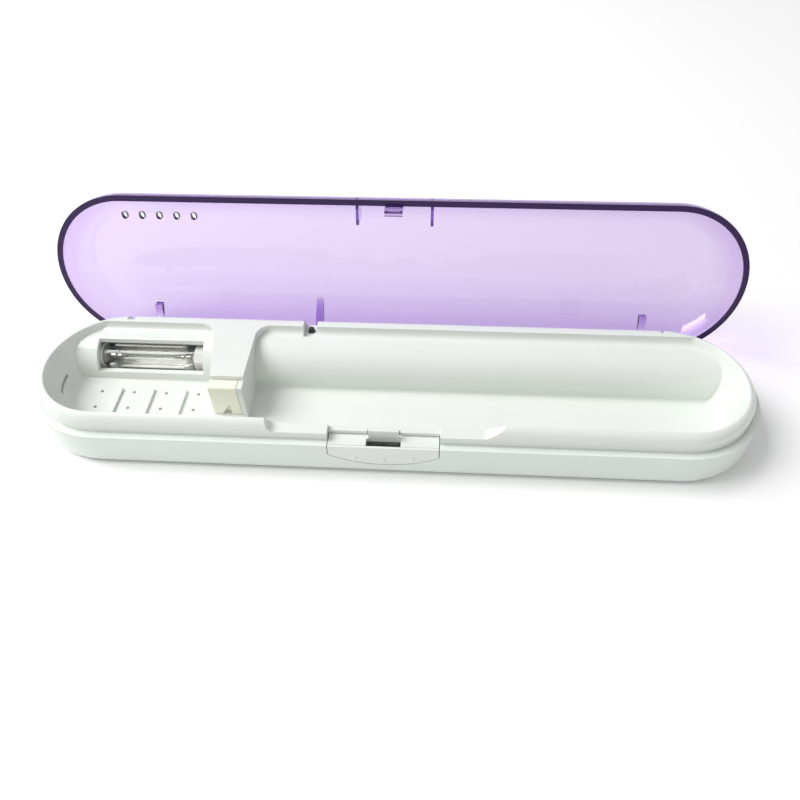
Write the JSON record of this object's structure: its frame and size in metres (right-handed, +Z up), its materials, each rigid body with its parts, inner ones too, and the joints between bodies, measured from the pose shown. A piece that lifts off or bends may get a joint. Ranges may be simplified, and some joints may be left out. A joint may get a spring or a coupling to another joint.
{
  "type": "toothbrush sanitizer",
  "caption": "Long pill-shaped travel toothbrush sanitizer with a hinged translucent lid, a moulded trough tray, an ultraviolet lamp behind a window and a press latch.",
  "frame": {"origin": "centre of the lower case's flat underside", "axes": "+X along the case towards the handle end of the toothbrush, +Y towards the hinge, +Z up"},
  "size_m": [0.222, 0.0723, 0.0529],
  "materials": {
    "case_white": "glossy moulded ABS",
    "tray_white": "glossy moulded ABS",
    "latch_white": "glossy moulded ABS",
    "neck_cream": "satin soft plastic",
    "lid_violet": "transparent tinted polystyrene",
    "lamp_glass": "clear quartz",
    "lamp_metal": "bright",
    "socket_white": "satin",
    "reflector_metal": "dull foil",
    "steel": "plain",
    "contact_nickel": "nickel plated",
    "black_plastic": "satin",
    "board_green": "solder mask",
    "capacitor_sleeve": "shrink sleeve",
    "ferrite": "matte ferrite",
    "copper_winding": "taped winding",
    "battery_jacket": "printed jacket, plain",
    "lead_red": "pvc",
    "lead_black": "pvc",
    "lead_white": "pvc"
  },
  "bodies": {
    "case": {"battery_1": "battery_jacket", "battery_2": "battery_jacket", "battery_lead_negative": "lead_black", "battery_lead_positive": "lead_red", "capacitor": "capacitor_sleeve", "case_screws": "steel", "circuit_board": "board_green", "contact_negative": "contact_nickel", "contact_positive": "contact_nickel", "contact_spring": "contact_nickel", "control_chip": "black_plastic", "hinge_pin_left": "steel", "hinge_pin_right": "steel", "interlock_switch": "black_plastic", "lamp_cap_left": "lamp_metal", "lamp_cap_right": "lamp_metal", "lamp_clip_left": "socket_white", "lamp_clip_right": "socket_white", "lamp_electrode_left": "lamp_metal", "lamp_electrode_right": "lamp_metal", "lamp_lead_left": "lead_white", "lamp_lead_right": "lead_white", "lamp_reflector": "reflector_metal", "lamp_socket_left": "socket_white", "lamp_socket_right": "socket_white", "latch_spring_left": "steel", "latch_spring_right": "steel", "lower_case": "case_white", "neck_rest": "neck_cream", "transformer_core": "ferrite", "transformer_winding": "copper_winding", "upper_tray": "tray_white", "uv_lamp": "lamp_glass"},
    "lid": {"lid": "lid_violet"},
    "latch": {"latch_button": "latch_white"},
    "plunger": {"switch_plunger": "black_plastic"},
    "door": {"battery_door": "case_white"}
  },
  "joints": [
    {"name": "lid_hinge", "type": "hinge", "parent": "case", "child": "lid", "pos_m": [0, 0.0225, 0.007], "axis": [1, 0, 0], "range_deg": [0, 102]},
    {"name": "latch_press", "type": "slide", "parent": "case", "child": "latch", "axis": [0, 1, 0], "range_m": [0, 0.001], "stiffness_N_per_m": 900, "springref_m": -0.0006},
    {"name": "plunger_press", "type": "slide", "parent": "case", "child": "plunger", "axis": [0, 0, -1], "range_m": [0, 0.001], "stiffness_N_per_m": 400, "springref_m": -0.0005},
    {"name": "door_slide", "type": "slide", "parent": "case", "child": "door", "axis": [1, 0, 0], "range_m": [0, 0.003]}
  ]
}
